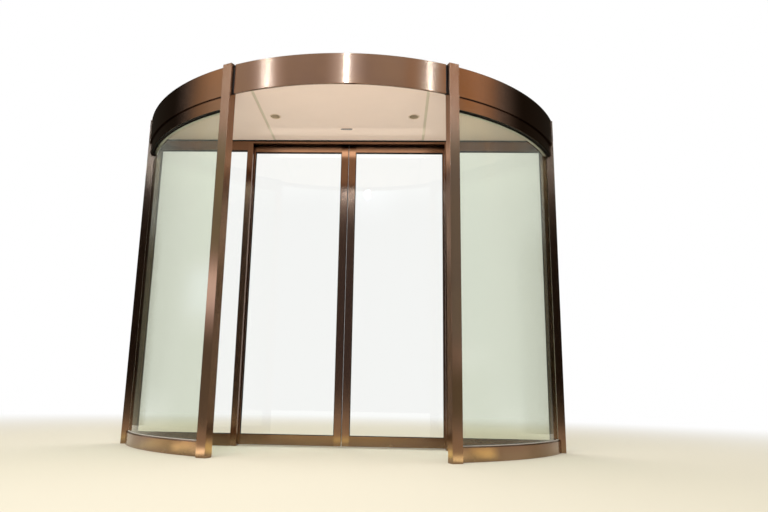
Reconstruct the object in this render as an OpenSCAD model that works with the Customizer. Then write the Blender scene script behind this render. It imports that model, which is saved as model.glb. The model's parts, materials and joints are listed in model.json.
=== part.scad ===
// Curved-front entrance portal with two automatic sliding leaves.
// The drum front is a segment of a circle: a fixed curved glass panel on each side,
// an open way in between two posts, a flat soffit, and a straight glazed screen behind.
// Lengths are millimetres. X runs along the wall, +Y goes into the building, Z is up.
// The origin is on the floor, at the middle of the portal's width and depth.

/* [Drum] */
// Overall width between the two walls
portal_w = 3280; // [2900:10:4000]
// How far the curved front stands out from the screen
drum_depth = 1060; // [880:10:1300]
// Clear height under the soffit
clear_h = 2400; // [2000:10:2900]
// Width of the open way between the two posts
opening_w = 1474; // [1200:2:1780]

/* [Fascia and roof] */
// Height of the curved fascia
fascia_h = 213; // [180:1:320]
// How far the fascia hangs below the soffit
fascia_drop = 38; // [20:1:60]
// Depth of the fascia's folded lower edge
fascia_return = 18; // [12:1:24]
// Thickness of folded sheet metal
sheet_t = 3; // [2:0.5:4]
// Radial depth of the ring beam behind the fascia
ring_d = 49.7; // [40:0.1:70]
// Thickness of the soffit board
soffit_t = 12; // [9:1:18]
// Distance from the middle to each soffit joint
soffit_joint_x = 600; // [400:1:700]
// Width of the joint strip between soffit boards
joint_w = 20; // [12:1:30]

/* [Front posts] */
// Width of a post's front face
post_w = 72; // [60:1:100]
// How far the post's front box laps in over the faces of the curved rails
box_lap = 12; // [8:1:16]
// How far a post stands out from the fascia
post_proud = 27; // [10:1:40]
// Width of the glazing leg behind the front box
leg_w = 41; // [36:1:50]
// Gap between a post and the middle fascia
shadow_gap = 12; // [8:1:20]
// How far a post rises above the fascia
post_rise = 3; // [0:1:10]

/* [Curved panels] */
// Distance from the fascia's face back to the face of the rails
rail_set_back = 23; // [19:1:40]
// Distance from the fascia's face back to the face of the head rail below it
head_set_back = 11; // [6:1:16]
// Depth of the curved rails
rail_d = 50; // [44:1:70]
// Height of the curved bottom rail
base_rail_h = 93.5; // [70:0.5:140]
// Height of the curved head rail that shows below the fascia
head_rail_show = 89; // [60:1:120]
// Open joint between the fascia and the head rail's face
rail_joint = 2; // [1:0.5:4]
// Thickness of all glass
glass_t = 12; // [8:1:16]
// Height of the black gasket in the head rail
gasket_h = 8; // [5:1:12]

/* [Screen] */
// Depth of the sidelight frames
frame_d = 50; // [45:1:80]
// Width of the sidelight stile beside the doorway
stile_w = 45; // [38:1:80]
// Distance from the middle to the sidelight stile
doorway_half = 775; // [650:1:820]
// Width of the wall jamb
jamb_w = 111; // [80:1:140]
// Height of the sidelight's top rail
side_top_h = 86; // [60:1:140]
// Height of the sidelight's bottom rail
side_base_h = 86; // [60:1:140]
// Height of the trim over the doorway
trim_h = 27; // [15:1:60]
// Depth of the trim over the doorway
trim_d = 20; // [12:1:40]
// Wall of the hollow frame sections
wall_t = 3; // [2:0.5:4]

/* [Sliding leaves] */
// Thickness of a leaf
leaf_d = 45; // [40:1:60]
// Gap between the sidelights and the leaves
leaf_gap = 10; // [6:1:20]
// Half of the gap between the closed leaves
meeting_gap = 3; // [2.5:0.5:6]
// Width of the meeting stile
meeting_w = 55; // [45:1:80]
// Width of the outer stile
outer_w = 60; // [45:1:80]
// How far a closed leaf laps behind the sidelight stile
leaf_lap = 50; // [30:1:60]
// Height of the leaf's bottom rail
leaf_base_h = 74; // [66:1:140]
// Height of the leaf's top rail
leaf_top_h = 75; // [66:1:140]
// Gap under a leaf
floor_gap = 8; // [8:0.5:14]
// Gap between a leaf's top and the header
top_gap = 4; // [3:0.5:8]

/* [Header and drive] */
// Depth of the header
header_d = 190; // [185:1:240]
// Radius of the running wheels at their flanges
wheel_r = 17; // [15:1:22]
// Radius of the round bead that the wheels run on
bead_r = 4; // [3:0.5:5]
// Radius of the belt pulleys
pulley_r = 25; // [20:1:30]
// Distance from each wall to the belt pulley at that end
pulley_inset = 140; // [80:1:200]

/* [Soffit fittings] */
// Distance from each soffit joint in to the downlight beside it
light_inset = 86; // [60:1:200]
// Distance from the screen to the downlights
light_y = 457; // [300:1:600]
// Radius of the downlight's trim ring
light_r = 42; // [35:1:60]
// Distance from the screen to the presence sensor
sensor_y = 230; // [120:1:320]

/* [Hidden] */

bronze = [0.42, 0.31, 0.24];
dark_bronze = [0.30, 0.22, 0.17];
soffit_white = [0.90, 0.85, 0.82];
clear_glass = [0.75, 0.80, 0.68, 0.35];
black_rubber = [0.04, 0.04, 0.04];
mill_aluminium = [0.75, 0.76, 0.78];
zinc_steel = [0.62, 0.64, 0.66];

// Gap between curved or running faces that seat on each other
seat_gap = 0.3;
// Gap left on each side of a glass edge in its groove
glass_play = 1;
// Depth of a glazing groove, and how far the glass goes into it
groove_depth = 12;
glass_bite = 10;
// Facets of a full circle at the drum's size and at a fitting's size
arc_fn = 360;
small_fn = 64;

// The fascia's arc: it meets the screen's outer face just inside the walls
wall_margin = 9;
chord_half = portal_w / 2 - wall_margin;
drum_r = (chord_half * chord_half + drum_depth * drum_depth) / (2 * drum_depth);
// Centre of the arc, measured back from the screen's outer face
centre_y = drum_r - drum_depth;
// The screen's outer face, so that the origin is at the middle of the depth
screen_y = (drum_depth - header_d) / 2;
// Sweep that overruns the screen, where the ends are cut off flat
sweep_half = acos(centre_y / drum_r) + 4;
// How far a cutting block reaches past what it cuts
over = 1;

fascia_z = clear_h - fascia_drop;
fascia_top = fascia_z + fascia_h;
ring_top = fascia_top - sheet_t;
soffit_top = clear_h + soffit_t;

rail_r = drum_r - rail_set_back;
head_r = drum_r - head_set_back;
leg_back = rail_r - rail_d;
post_r = drum_r + post_proud;
post_back = rail_r - box_lap;
post_d = post_r - post_back;
post_a = asin(opening_w / 2 / post_r) + asin(post_w / 2 / post_r);
ring_r = post_back - seat_gap;
glass_r = leg_back + (rail_d + glass_t) / 2;
soffit_r = drum_r - sheet_t - seat_gap;

jamb_x = portal_w / 2 - jamb_w;
pulley_x = portal_w / 2 - pulley_inset;
light_x = soffit_joint_x - light_inset;
stile_x = doorway_half + stile_w;
leaf_y = frame_d + leaf_gap;
leaf_mid_y = leaf_y + leaf_d / 2;
leaf_x0 = meeting_gap;
leaf_x1 = doorway_half + leaf_lap;
leaf_top = clear_h - top_gap;
groove_w = glass_t + 2 * glass_play;

// Curved glass: its bottom edge in the base rail, and the head rail's underside
glass_foot_z = base_rail_h - groove_depth;
head_rail_z = fascia_z - head_rail_show;
// The curved glass ends short of the screen, behind a seal
glass_end_gap = 4;
// Gaskets on the curved glass: the low one at its foot, and the broad one behind the head rail's face
foot_gasket_d = 6;
foot_gasket_h = 4;
cover_gasket_d = 17;
gasket_hang = 1;
// Steep bead along the top of the base rail's face
bead_run = 4;
bead_drop = 7;
bead_nose = 1;

// Hangers stand a little inside the leaf's outer face
hanger_set_in = 2;
hanger_y = leaf_y + hanger_set_in;
hanger_w = 120;
hanger_t = 8;
hanger_foot_t = 6;
// Distance from a leaf's edge to the middle of the hanger
hanger_inset = 150;
hanger_xs = [leaf_x0 + hanger_inset, leaf_x1 - hanger_inset];

// Header section: front wall, top, track shelf with its round bead, and a rear lip
header_t = 6;
header_top = ring_top;
// Clear space between the track shelf and the hangers
shelf_clear = 16;
shelf_d = hanger_y - shelf_clear;
shelf_z = clear_h + 46;
bead_y = shelf_d - header_t;
bead_z = shelf_z + header_t + bead_r;
rear_lip_h = 32;
// Cover: its sheet, and how far its lower lip stays behind the leaves
cover_t = 3;
slot_clear = 13;
slot_back_y = leaf_y + leaf_d + slot_clear;

// Running wheels: the flanges stand this far over the tread
flange_h = 3;
wheel_w = 12;
tread_r = wheel_r - flange_h;
wheel_pitch = 76;
axle_z = bead_z + bead_r + seat_gap + tread_r;
axle_r = 4;
axle_play = 0.2;
// Axle head in front of a wheel, and the spacer behind it
axle_head_t = 2.2;
axle_head_r = axle_r + 3;
spacer_r = axle_r + 2;
// Guard roller under the shelf, which keeps the leaf from being lifted off the bead
guard_r = 11;
guard_w = 10;
guard_clear = 1;
guard_z = shelf_z - guard_clear - guard_r;

// Belt drive: gearbox, idler block and motor in the room side of the header
drive_box_w = 60;
drive_box_d = 38;
box_clear = 3;
motor_r = 19;
motor_l = 180;
shaft_r = 6;
belt_w = 15;
belt_t = 2;
box_y = header_d - cover_t - box_clear - drive_box_d;
belt_y = box_y - box_clear - belt_w;
belt_z = clear_h + 100;
// Clamp arms from the hangers pass this far from the belt
clamp_w = 40;
clamp_t = 6;
clamp_clear = 7;
hanger_top = belt_z + pulley_r - clamp_clear + 2;

// Floor guides, and the slot that runs on them along the underside of a leaf
guide_plate_t = 2.5;
guide_fin_t = 8;
guide_fin_clear = 8;
guide_slot_w = 18;
guide_slot_h = 30;
guide_l = 42;

// Seal groove down the meeting edge of each leaf
seal_groove_w = 7;
seal_groove_d = 6;

// Wall fixings in the header's end plates
fixing_r = 6;
fixing_pitch = 100;

// Soffit fittings: flange under the board, and the cans above it
fitting_t = 3;
fitting_edge = 1.5;
can_wall = 3;
light_can_r = light_r - 6;
light_can_h = 70;
sensor_r = 25;
sensor_l = 62;
sensor_can_r = 20;
sensor_can_h = 45;
sensor_window_r = 16;
sensor_window_depth = 8;

// Places a part that is drawn from the screen's outer face
module seat() translate([0, screen_y, 0]) children();

// Draws a right-hand part as it is for side 1, and mirrored for side -1
module on_side(side) mirror([side < 0 ? 1 : 0, 0, 0]) children();

// Sweeps a section, drawn as radius and height, from one angle to another about the arc's centre
module arc_sweep(a0, a1)
    translate([0, centre_y, 0])
        rotate([0, 0, a0 - 90])
            rotate_extrude(angle = a1 - a0, $fn = arc_fn) children();

// The right-hand post's own frame: -Y points out along its radius, +X towards the wall
module post_frame() translate([0, centre_y, 0]) rotate([0, 0, post_a]) children();

// Everything behind the screen's outer face, used to cut swept parts off flat
module behind_screen(y0 = 0) translate([-portal_w, y0, -over]) cube([2 * portal_w, portal_w, 2 * clear_h]);

// Everything on the opening's side of a plane in the right-hand post's frame
module opening_side(x)
    post_frame() translate([x - portal_w, -2 * drum_r, -over]) cube([portal_w, 2 * drum_r, 2 * clear_h]);

// A swept part of the right-hand curved panel, from a plane in the post to the screen
module panel_sweep(x, y = 0)
    difference() {
        arc_sweep(0, sweep_half) children();
        opening_side(x);
        behind_screen(y);
    }

module span_x(x0, x1) translate([x0, 0, 0]) rotate([90, 0, 90]) linear_extrude(x1 - x0) children();

module block(p0, p1) translate(p0) cube(p1 - p0);

// Hollow frame section: w across the face, d deep, with a glazing groove in the side at x = 0
module glazed_section(w, d) {
    groove_y = (d - groove_w) / 2;
    difference() {
        square([w, d]);
        translate([-over, groove_y]) square([groove_depth + over, groove_w]);
        translate([groove_depth + wall_t, wall_t]) square([w - groove_depth - 2 * wall_t, d - 2 * wall_t]);
    }
}

// Stadium outline, with its length between the two centres
module stadium(r, length) {
    square([length, 2 * r], center = true);
    for (side = [-1, 1]) translate([side * length / 2, 0]) circle(r, $fn = small_fn);
}

// Folded fascia: face, lower return with its upright hem under the soffit, and top flange over the ring beam
module fascia_section() {
    translate([drum_r - sheet_t, fascia_z]) square([sheet_t, fascia_h]);
    translate([drum_r - fascia_return, fascia_z]) square([fascia_return, sheet_t]);
    translate([drum_r - fascia_return, fascia_z]) square([sheet_t, fascia_drop - seat_gap]);
    translate([ring_r - ring_d / 2, ring_top]) square([drum_r - ring_r + ring_d / 2, sheet_t]);
}

module fascia_side(side) {
    color(dark_bronze)
        seat() on_side(side) panel_sweep(post_w / 2 + seat_gap) fascia_section();
}

module fascia_centre() {
    color(bronze)
        seat()
            difference() {
                arc_sweep(-post_a, post_a) fascia_section();
                for (side = [-1, 1]) on_side(side) beyond_post_face();
            }
}

// Everything from the shadow gap beside the right-hand post outwards
module beyond_post_face()
    post_frame()
        translate([-post_w / 2 - shadow_gap, -2 * drum_r, -over]) cube([portal_w, 2 * drum_r, 2 * clear_h]);

// Hollow ring beam between the soffit and the fascia's top flange
module ring_beam() {
    beam_z = soffit_top + seat_gap;
    beam_h = ring_top - seat_gap - beam_z;
    color(zinc_steel)
        seat()
            difference() {
                arc_sweep(-sweep_half, sweep_half)
                    translate([ring_r - ring_d, beam_z])
                        difference() {
                            square([ring_d, beam_h]);
                            translate([wall_t, wall_t]) square([ring_d - 2 * wall_t, beam_h - 2 * wall_t]);
                        }
                behind_screen();
            }
}

// Dust cover over the soffit, from the middle of the ring beam back onto the header
module roof_panel() {
    color(zinc_steel)
        seat()
            translate([0, 0, ring_top])
                linear_extrude(sheet_t)
                    intersection() {
                        translate([0, centre_y]) circle(ring_r - ring_d / 2 - over, $fn = arc_fn);
                        translate([-portal_w / 2, -drum_r]) square([portal_w, drum_r + frame_d]);
                    }
}

// Plan of the whole soffit in front of the screen, notched round the posts
module soffit_plan() {
    difference() {
        translate([0, centre_y]) circle(soffit_r, $fn = arc_fn);
        translate([-portal_w, 0]) square([2 * portal_w, 2 * drum_r]);
        for (side = [-1, 1])
            mirror([side < 0 ? 1 : 0, 0])
                translate([0, centre_y])
                    rotate(post_a)
                        translate([-post_w / 2 - seat_gap, -post_r])
                            square([post_w + 2 * seat_gap, post_d + seat_gap]);
    }
}

module soffit_side(side) {
    edge_x = soffit_joint_x + joint_w / 2;
    color(soffit_white)
        seat()
            on_side(side)
                translate([0, 0, clear_h])
                    linear_extrude(soffit_t)
                        intersection() {
                            soffit_plan();
                            translate([edge_x, -drum_r]) square([portal_w, 2 * drum_r]);
                        }
}

module soffit_centre() {
    edge_x = soffit_joint_x - joint_w / 2;
    color(soffit_white)
        seat()
            translate([0, 0, clear_h])
                linear_extrude(soffit_t)
                    difference() {
                        intersection() {
                            soffit_plan();
                            translate([-edge_x, -drum_r]) square([2 * edge_x, 2 * drum_r]);
                        }
                        for (side = [-1, 1])
                            translate([side * light_x, -light_y])
                                circle(light_can_r + seat_gap, $fn = small_fn);
                        translate([0, -sensor_y]) stadium(sensor_can_r + seat_gap, sensor_l);
                    }
}

// Joint strips: a recessed web between the boards, under a flange that lies on them
module soffit_bars() {
    web_up = 3;
    flange_w = 50;
    web_w = joint_w - 2 * seat_gap;
    color([0.55, 0.57, 0.50])
        seat()
            for (side = [-1, 1])
                on_side(side)
                    union() {
                        translate([0, 0, clear_h + web_up])
                            linear_extrude(soffit_t - web_up)
                                intersection() {
                                    soffit_plan();
                                    translate([soffit_joint_x - web_w / 2, -drum_r])
                                        square([web_w, 2 * drum_r]);
                                }
                        translate([0, 0, soffit_top])
                            linear_extrude(sheet_t)
                                intersection() {
                                    translate([0, centre_y]) circle(ring_r - ring_d - seat_gap, $fn = arc_fn);
                                    translate([soffit_joint_x - flange_w / 2, -drum_r])
                                        square([flange_w, drum_r]);
                                }
                    }
}

// Recessed downlights: a trim ring under the board and an open can above it
module downlights() {
    inner_r = light_can_r - can_wall;
    color(soffit_white)
        seat()
            for (side = [-1, 1])
                translate([side * light_x, -light_y, clear_h])
                    rotate_extrude($fn = small_fn)
                        polygon([
                            [inner_r, -fitting_t / 2],
                            [light_r - fitting_edge, -fitting_t],
                            [light_r, -fitting_edge],
                            [light_r, 0],
                            [light_can_r, 0],
                            [light_can_r, light_can_h],
                            [0, light_can_h],
                            [0, light_can_h - can_wall],
                            [inner_r, light_can_h - can_wall]
                        ]);
}

// Presence sensor over the middle of the doorway: an oval bezel and its recessed can
module presence_sensor() {
    color(soffit_white)
        seat()
            translate([0, -sensor_y, clear_h])
                difference() {
                    union() {
                        translate([0, 0, -fitting_t]) linear_extrude(fitting_t) stadium(sensor_r, sensor_l);
                        linear_extrude(sensor_can_h) stadium(sensor_can_r, sensor_l);
                    }
                    translate([0, 0, -fitting_t - over])
                        linear_extrude(fitting_t + sensor_window_depth + over)
                            stadium(sensor_window_r, sensor_l);
                }
}

// Post: a front box with a rebated inner edge, and a glazing leg behind it up to the soffit
module post(side) {
    half = post_w / 2;
    rebate_d = 3;
    rebate_l = 18;
    leg_x = half - leg_w;
    leg_inner_w = leg_w - groove_depth - 2 * wall_t;
    groove_y = -glass_r - glass_play;
    color(bronze)
        seat()
            on_side(side)
                post_frame() {
                    union() {
                        linear_extrude(fascia_top + post_rise)
                            difference() {
                                polygon([
                                    [-half, -post_r],
                                    [half, -post_r],
                                    [half, -post_back],
                                    [-half + rebate_d, -post_back],
                                    [-half + rebate_d, -post_back - rebate_l],
                                    [-half, -post_back - rebate_l]
                                ]);
                                translate([-half + rebate_d + wall_t, -post_r + wall_t])
                                    square([post_w - rebate_d - 2 * wall_t, post_d - 2 * wall_t]);
                            }
                        linear_extrude(clear_h)
                            difference() {
                                translate([leg_x, -post_back]) square([leg_w, post_back - leg_back]);
                                translate([half - groove_depth, groove_y])
                                    square([groove_depth + over, groove_w]);
                                translate([leg_x + wall_t, -post_back + wall_t])
                                    square([leg_inner_w, post_back - leg_back - 2 * wall_t]);
                            }
                        translate([-half, -post_r, fascia_top + post_rise - wall_t])
                            linear_extrude(wall_t)
                                square([post_w, post_d - rebate_l]);
                    }
                }
}

// Base rail: hollow, with its glazing groove in the top and a steep bead that sheds rain outwards
module base_rail_section() {
    h = base_rail_h;
    difference() {
        polygon([
            [leg_back, 0],
            [rail_r, 0],
            [rail_r, h - bead_drop - bead_nose],
            [rail_r - bead_nose, h - bead_drop],
            [rail_r - bead_run, h],
            [leg_back, h]
        ]);
        translate([glass_r - glass_t - glass_play, h - groove_depth]) square([groove_w, groove_depth + over]);
        translate([leg_back + wall_t, wall_t]) square([rail_d - 2 * wall_t, h - groove_depth - 2 * wall_t]);
    }
}

// Head rail: its face stands forward under the fascia, with a rebate in its underside for the cover gasket
module head_rail_section() {
    face_top = fascia_z - rail_joint;
    groove_r = glass_r - glass_t - glass_play;
    hollow_z = head_rail_z + groove_depth + wall_t;
    difference() {
        polygon([
            [leg_back, head_rail_z],
            [head_r, head_rail_z],
            [head_r, face_top],
            [rail_r, face_top],
            [rail_r, clear_h],
            [leg_back, clear_h]
        ]);
        translate([groove_r, head_rail_z - over]) square([groove_w, groove_depth + over]);
        translate([head_r - wall_t - cover_gasket_d, head_rail_z - over])
            square([cover_gasket_d, gasket_h + over]);
        translate([leg_back + wall_t, hollow_z]) square([rail_d - 2 * wall_t, clear_h - wall_t - hollow_z]);
        translate([leg_back + wall_t, hollow_z])
            square([head_r - leg_back - 2 * wall_t, face_top - wall_t - hollow_z]);
    }
}

module head_rail(side) {
    color(dark_bronze)
        seat() on_side(side) panel_sweep(post_w / 2) head_rail_section();
}

module base_rail(side) {
    color(bronze)
        seat() on_side(side) panel_sweep(post_w / 2) base_rail_section();
}

module curved_glass(side) {
    z1 = head_rail_z + glass_bite;
    color(clear_glass)
        seat()
            on_side(side)
                panel_sweep(post_w / 2 - glass_bite, -glass_end_gap)
                    translate([glass_r - glass_t, glass_foot_z])
                        square([glass_t, z1 - glass_foot_z]);
}

// Black gaskets: one at the foot of the curved glass, a broad one in the head rail's rebate,
// and the seal at the glass's wall end
module curved_gaskets(side) {
    cover_gasket_r = head_r - wall_t - cover_gasket_d + seat_gap;
    color(black_rubber)
        seat()
            on_side(side) {
                panel_sweep(post_w / 2 + seat_gap, -2 * glass_end_gap) {
                    translate([glass_r + seat_gap, base_rail_h]) square([foot_gasket_d, foot_gasket_h]);
                    translate([cover_gasket_r, head_rail_z - gasket_hang])
                        square([cover_gasket_d - 2 * seat_gap, gasket_hang + gasket_h - seat_gap]);
                }
                difference() {
                    panel_sweep(post_w / 2)
                        translate([glass_r - glass_t, base_rail_h])
                            square([glass_t, head_rail_z - base_rail_h]);
                    translate([-portal_w, -2 * drum_r - glass_end_gap, -over])
                        cube([2 * portal_w, 2 * drum_r, 2 * clear_h]);
                }
            }
}

module jamb(side) {
    color(bronze)
        seat()
            on_side(side)
                translate([jamb_x, 0, 0])
                    linear_extrude(clear_h)
                        glazed_section(jamb_w, frame_d);
}

module sidelight_stile(side) {
    color(bronze)
        seat()
            on_side(side)
                translate([stile_x, 0, 0])
                    mirror([1, 0, 0])
                        linear_extrude(clear_h)
                            glazed_section(stile_w, frame_d);
}

// Turns a section's x to height, so that its groove faces up (up = 1) or down (up = -1) at z
module rail_along_x(x0, x1, z, up)
    span_x(x0, x1)
        translate([0, z])
            mirror([0, up > 0 ? 1 : 0])
                rotate(90)
                    mirror([0, 1])
                        children();

module sidelight_rails(side) {
    color(bronze)
        seat()
            on_side(side) {
                rail_along_x(stile_x, jamb_x, side_base_h, 1) glazed_section(side_base_h, frame_d);
                rail_along_x(stile_x, jamb_x, clear_h - side_top_h, -1) glazed_section(side_top_h, frame_d);
            }
}

module sidelight_glass(side) {
    y0 = (frame_d - glass_t) / 2;
    z0 = side_base_h - groove_depth;
    z1 = clear_h - side_top_h + glass_bite;
    color(clear_glass)
        seat()
            on_side(side)
                block([stile_x - glass_bite, y0, z0], [jamb_x + glass_bite, y0 + glass_t, z1]);
}

module transom_trim() {
    color(bronze)
        seat()
            span_x(-doorway_half, doorway_half)
                translate([0, clear_h - trim_h])
                    difference() {
                        square([trim_d, trim_h]);
                        translate([wall_t, wall_t]) square([trim_d - 2 * wall_t, trim_h - 2 * wall_t]);
                    }
}

module header_section() {
    h = header_top - clear_h;
    translate([0, clear_h]) square([header_t, h]);
    translate([0, header_top - header_t]) square([header_d, header_t]);
    translate([0, shelf_z]) square([shelf_d, header_t]);
    translate([bead_y - bead_r / 2, shelf_z]) square([bead_r, bead_z - shelf_z]);
    translate([bead_y, bead_z]) circle(bead_r, $fn = small_fn);
    translate([header_d - header_t, header_top - rear_lip_h]) square([header_t, rear_lip_h]);
}

// Header beam: the extruded track section between two end plates that bolt to the walls
module header_beam() {
    half = portal_w / 2;
    plate_back_y = header_d - cover_t - seat_gap;
    plate_y = header_d / 2;
    plate_z = (clear_h + header_top) / 2;
    color(mill_aluminium)
        seat()
            union() {
                span_x(-half + header_t / 2, half - header_t / 2) header_section();
                for (side = [-1, 1])
                    on_side(side)
                        difference() {
                            block([half - header_t, 0, clear_h], [half, plate_back_y, header_top]);
                            for (dy = [-1, 1], dz = [-1, 1])
                                translate([half - 2 * header_t, plate_y, plate_z])
                                    translate([0, dy * fixing_pitch / 2, dz * fixing_pitch / 2])
                                        rotate([0, 90, 0])
                                            cylinder(h = 3 * header_t, r = fixing_r, $fn = small_fn);
                        }
            }
}

// Removable cover on the room side, with a lip under the header back to the slot
module header_cover() {
    top = header_top - rear_lip_h - seat_gap;
    half = portal_w / 2;
    lip_half = half - header_t - seat_gap;
    color(bronze)
        seat()
            union() {
                span_x(-half, half)
                    translate([header_d - cover_t, clear_h]) square([cover_t, top - clear_h]);
                span_x(-lip_half, lip_half)
                    translate([slot_back_y, clear_h]) square([header_d - slot_back_y, cover_t]);
            }
}

// Gearbox with its motor at the right, idler block at the left, each with its flanged belt pulley
module drive_unit() {
    motor_x = pulley_x - motor_l - drive_box_w / 2;
    color(zinc_steel)
        seat()
            for (side = [-1, 1])
                on_side(side)
                    union() {
                        block([pulley_x - drive_box_w / 2, box_y, belt_z - drive_box_w / 2],
                              [pulley_x + drive_box_w / 2, box_y + drive_box_d, header_top - header_t]);
                        translate([pulley_x, belt_y - over, belt_z])
                            rotate([-90, 0, 0])
                                belt_pulley();
                        if (side > 0)
                            translate([motor_x, box_y + drive_box_d / 2, belt_z])
                                rotate([0, 90, 0])
                                    cylinder(h = motor_l + over, r = motor_r, $fn = small_fn);
                    }
}

// Pulley and its shaft, along +Z from the pulley's front face
module belt_pulley() {
    cylinder(h = belt_w + 2 * over, r = pulley_r - seat_gap, $fn = small_fn);
    cylinder(h = box_y - belt_y + 2 * over, r = shaft_r, $fn = small_fn);
}

module belt_outline(r) {
    square([2 * pulley_x, 2 * r], center = true);
    for (side = [-1, 1]) translate([side * pulley_x, 0]) circle(r, $fn = small_fn);
}

module drive_belt() {
    color(black_rubber)
        seat()
            translate([0, belt_y + belt_w, belt_z])
                rotate([90, 0, 0])
                    linear_extrude(belt_w)
                        difference() {
                            belt_outline(pulley_r + belt_t);
                            belt_outline(pulley_r);
                        }
}

// Floor guides: a thin plate behind each stile, with a fin that runs in the leaf's slot
module floor_guides() {
    guide_x1 = doorway_half + guide_l;
    guide_fin_top = floor_gap + guide_slot_h - guide_fin_clear;
    color(zinc_steel)
        seat()
            for (side = [-1, 1])
                on_side(side)
                    union() {
                        block([doorway_half, frame_d, 0], [guide_x1, leaf_y + leaf_d, guide_plate_t]);
                        block([doorway_half, leaf_mid_y - guide_fin_t / 2, 0],
                              [guide_x1, leaf_mid_y + guide_fin_t / 2, guide_fin_top]);
                    }
}

// Slot for the floor guide, along the underside of a leaf
module guide_slot()
    block([leaf_x0 - over, leaf_mid_y - guide_slot_w / 2, floor_gap - over],
          [leaf_x1 + over, leaf_mid_y + guide_slot_w / 2, floor_gap + guide_slot_h]);

module leaf_stiles(side) {
    color(bronze)
        seat()
            on_side(side)
                difference() {
                    translate([0, leaf_y, floor_gap])
                        linear_extrude(leaf_top - floor_gap) {
                            translate([leaf_x0 + meeting_w, 0]) mirror([1, 0]) meeting_section();
                            translate([leaf_x1 - outer_w, 0]) glazed_section(outer_w, leaf_d);
                        }
                    guide_slot();
                }
}

// The meeting stile has a groove for its rubber seal, with a wall round it
module meeting_section() {
    seal_y = (leaf_d - seal_groove_w) / 2;
    difference() {
        union() {
            glazed_section(meeting_w, leaf_d);
            translate([meeting_w - seal_groove_d - wall_t, seal_y - wall_t])
                square([seal_groove_d + wall_t, seal_groove_w + 2 * wall_t]);
        }
        translate([meeting_w - seal_groove_d, seal_y]) square([seal_groove_d + over, seal_groove_w]);
    }
}

module leaf_rails(side) {
    x0 = leaf_x0 + meeting_w;
    x1 = leaf_x1 - outer_w;
    color(bronze)
        seat()
            on_side(side) {
                difference() {
                    translate([0, leaf_y, 0])
                        rail_along_x(x0, x1, floor_gap + leaf_base_h, 1)
                            leaf_base_section();
                    guide_slot();
                }
                translate([0, leaf_y, 0])
                    rail_along_x(x0, x1, leaf_top - leaf_top_h, -1)
                        glazed_section(leaf_top_h, leaf_d);
            }
}

// The leaf's bottom rail keeps a wall over the guide slot
module leaf_base_section() {
    glazed_section(leaf_base_h, leaf_d);
    translate([leaf_base_h - guide_slot_h - wall_t, 0]) square([guide_slot_h + wall_t, leaf_d]);
}

module leaf_glass(side) {
    y0 = leaf_mid_y - glass_t / 2;
    x0 = leaf_x0 + meeting_w - glass_bite;
    x1 = leaf_x1 - outer_w + glass_bite;
    z0 = floor_gap + leaf_base_h - groove_depth;
    z1 = leaf_top - leaf_top_h + glass_bite;
    color(clear_glass)
        seat() on_side(side) block([x0, y0, z0], [x1, y0 + glass_t, z1]);
}

// Hanger: a foot on the leaf's top rail, an upright plate, and the pins of its wheels and guard roller
module hanger() {
    foot_y1 = leaf_y + leaf_d - 2 * hanger_set_in;
    plate_y1 = hanger_y + hanger_t;
    block([-hanger_w / 2, hanger_y, leaf_top], [hanger_w / 2, foot_y1, leaf_top + hanger_foot_t]);
    block([-hanger_w / 2, hanger_y, leaf_top], [hanger_w / 2, plate_y1, hanger_top]);
    for (dx = [-1, 1]) translate([dx * wheel_pitch / 2, bead_y, axle_z]) wheel_pin(wheel_w);
    translate([0, bead_y, guard_z]) wheel_pin(guard_w);
}

// Pin through a wheel of width w, with a head in front of it and a spacer back to the hanger plate
module wheel_pin(w) {
    head_y = -w / 2 - seat_gap - axle_head_t;
    plate_y = hanger_y - bead_y;
    rotate([-90, 0, 0]) {
        translate([0, 0, head_y]) cylinder(h = axle_head_t, r = axle_head_r, $fn = small_fn);
        translate([0, 0, head_y]) cylinder(h = plate_y + hanger_t / 2 - head_y, r = axle_r, $fn = small_fn);
        translate([0, 0, w / 2 + seat_gap])
            cylinder(h = plate_y + over - w / 2 - seat_gap, r = spacer_r, $fn = small_fn);
    }
}

// Clamp arm from the inner hanger to the belt: the left leaf takes the lower run, the right leaf the upper
module clamp_arm(side) {
    run_z = side < 0 ? belt_z - pulley_r - belt_t - clamp_clear : belt_z + pulley_r - clamp_clear;
    arm_y1 = belt_y + belt_w + clamp_clear;
    block([-clamp_w / 2, hanger_y, run_z - clamp_t], [clamp_w / 2, arm_y1 + clamp_t / 2, run_z]);
    block([-clamp_w / 2, arm_y1, run_z - clamp_t],
          [clamp_w / 2, arm_y1 + clamp_t / 2, run_z + 3 * clamp_clear]);
}

module leaf_hangers(side) {
    color(zinc_steel)
        seat()
            on_side(side) {
                union() {
                    translate([hanger_xs[0], 0, 0]) hanger();
                    translate([hanger_xs[0], 0, 0]) clamp_arm(side);
                }
                translate([hanger_xs[1], 0, 0]) hanger();
            }
}

// Running wheel: a grooved tread that sits on the round bead, bored for its axle
module running_wheel() {
    bore_r = axle_r + axle_play;
    rotate_extrude($fn = small_fn)
        difference() {
            translate([bore_r, -wheel_w / 2]) square([wheel_r - bore_r, wheel_w]);
            translate([tread_r + bead_r + seat_gap, 0]) circle(bead_r + seat_gap, $fn = small_fn);
        }
}

// Guard roller: plain, bored for its pin
module guard_roller() {
    bore_r = axle_r + axle_play;
    rotate_extrude($fn = small_fn) translate([bore_r, -guard_w / 2]) square([guard_r - bore_r, guard_w]);
}

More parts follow.
